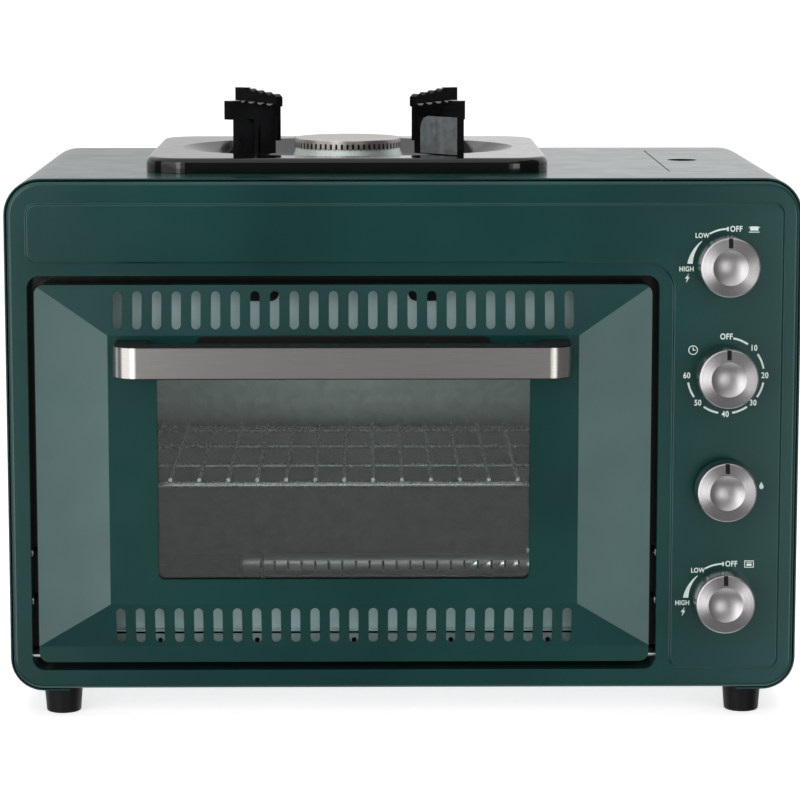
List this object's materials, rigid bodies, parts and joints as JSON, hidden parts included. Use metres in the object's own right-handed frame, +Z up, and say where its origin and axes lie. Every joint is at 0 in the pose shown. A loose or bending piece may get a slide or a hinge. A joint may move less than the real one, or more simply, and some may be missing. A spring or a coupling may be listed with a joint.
{
  "type": "portable camp oven",
  "caption": "Portable gas camp oven with a drop-down window door, wire rack, four front controls, and a stove burner with drip pan and pot supports on top.",
  "frame": {"origin": "on the table, under the middle of the oven's footprint, handle and rear screw heads included", "axes": "+X to the right seen from the front, +Y to the back, +Z up"},
  "size_m": [0.5, 0.331, 0.3905],
  "materials": {
    "green_painted_steel": "gloss",
    "black_enamel": "gloss",
    "cast_iron_black": "satin",
    "black_plastic": "matte",
    "brushed_stainless": "brushed",
    "bright_steel": "polished",
    "galvanised_steel": "satin",
    "aluminised_liner": "satin",
    "knob_silver": "satin",
    "cast_aluminium": "matte",
    "brass": "satin",
    "window_glass": "clear",
    "white_ceramic": "matte",
    "timer_plastic": "matte",
    "printed_ink": "print"
  },
  "bodies": {
    "oven_body": {"outer_shell": "green_painted_steel", "front_fascia": "green_painted_steel", "rear_panel": "galvanised_steel", "base_plate": "galvanised_steel", "feet": "black_plastic", "foot_screws": "bright_steel", "rear_screws": "bright_steel", "recess_screws": "bright_steel", "hinge_brackets": "galvanised_steel", "hinge_pins": "bright_steel", "front_frame": "black_enamel", "oven_liner": "aluminised_liner", "rack_runners": "aluminised_liner", "partition_wall": "galvanised_steel", "cartridge_bay": "galvanised_steel", "lid_hinge_pin": "bright_steel", "regulator": "cast_aluminium", "stove_tap": "brass", "oven_tap": "brass", "timer_unit": "timer_plastic", "safety_valve": "brass", "supply_pipe": "brass", "link_pipe": "brass", "oven_pipe": "brass", "stove_pipe": "brass", "oven_burner_tube": "brushed_stainless", "oven_burner_bracket": "aluminised_liner", "oven_electrode": "white_ceramic", "thermocouple": "white_ceramic", "stove_burner_base": "cast_aluminium", "stove_burner_strap": "galvanised_steel", "burner_cap": "brushed_stainless"},
    "door": {"door_front_panel": "green_painted_steel", "door_inner_panel": "galvanised_steel", "door_glass": "window_glass", "glass_clips": "galvanised_steel", "door_panel_screws": "bright_steel", "handle_bar": "brushed_stainless", "handle_core": "black_plastic", "handle_screws": "bright_steel", "handle_trim": "black_plastic"},
    "rack": {"oven_rack": "bright_steel"},
    "lid": {"gas_lid": "green_painted_steel"},
    "pan": {"drip_pan": "black_enamel", "pot_supports": "cast_iron_black"},
    "stove_control": {"stove_knob": "knob_silver", "stove_knob_stem": "brass"},
    "timer_control": {"timer_knob": "knob_silver", "timer_knob_stem": "brass"},
    "safety_control": {"safety_button": "knob_silver", "safety_button_stem": "brass"},
    "oven_control": {"oven_knob": "knob_silver", "oven_knob_stem": "brass"}
  },
  "joints": [
    {"name": "door_hinge", "type": "hinge", "parent": "oven_body", "child": "door", "pos_m": [-0.0376, -0.1155, 0.0405], "axis": [1, 0, 0], "range_deg": [0, 85]},
    {"name": "rack_slide", "type": "slide", "parent": "oven_body", "child": "rack", "axis": [0, -1, 0], "range_m": [0, 0.12]},
    {"name": "stove_knob_turn", "type": "hinge", "parent": "oven_body", "child": "stove_control", "pos_m": [0.2028, -0.1215, 0.2914], "axis": [0, -1, 0], "range_deg": [0, 110]},
    {"name": "timer_knob_turn", "type": "hinge", "parent": "oven_body", "child": "timer_control", "pos_m": [0.2028, -0.1215, 0.2215], "axis": [0, 1, 0], "range_deg": [0, 270]},
    {"name": "safety_button_push", "type": "slide", "parent": "oven_body", "child": "safety_control", "axis": [0, 1, 0], "range_m": [0, 0.005], "stiffness_N_per_m": 600, "springref_m": -0.004},
    {"name": "oven_knob_turn", "type": "hinge", "parent": "oven_body", "child": "oven_control", "pos_m": [0.2028, -0.1215, 0.0783], "axis": [0, -1, 0], "range_deg": [0, 110]},
    {"name": "lid_hinge", "type": "hinge", "parent": "oven_body", "child": "lid", "pos_m": [0.2474, 0.0345, 0.3055], "axis": [0, 1, 0], "range_deg": [0, 90]},
    {"name": "pan_lift", "type": "slide", "parent": "oven_body", "child": "pan", "axis": [0, 0, 1], "range_m": [0, 0.06]}
  ],
  "couplings": [
    {"joint": "rack_slide", "follows": "door_hinge", "m_per_rad": 0.0808}
  ]
}
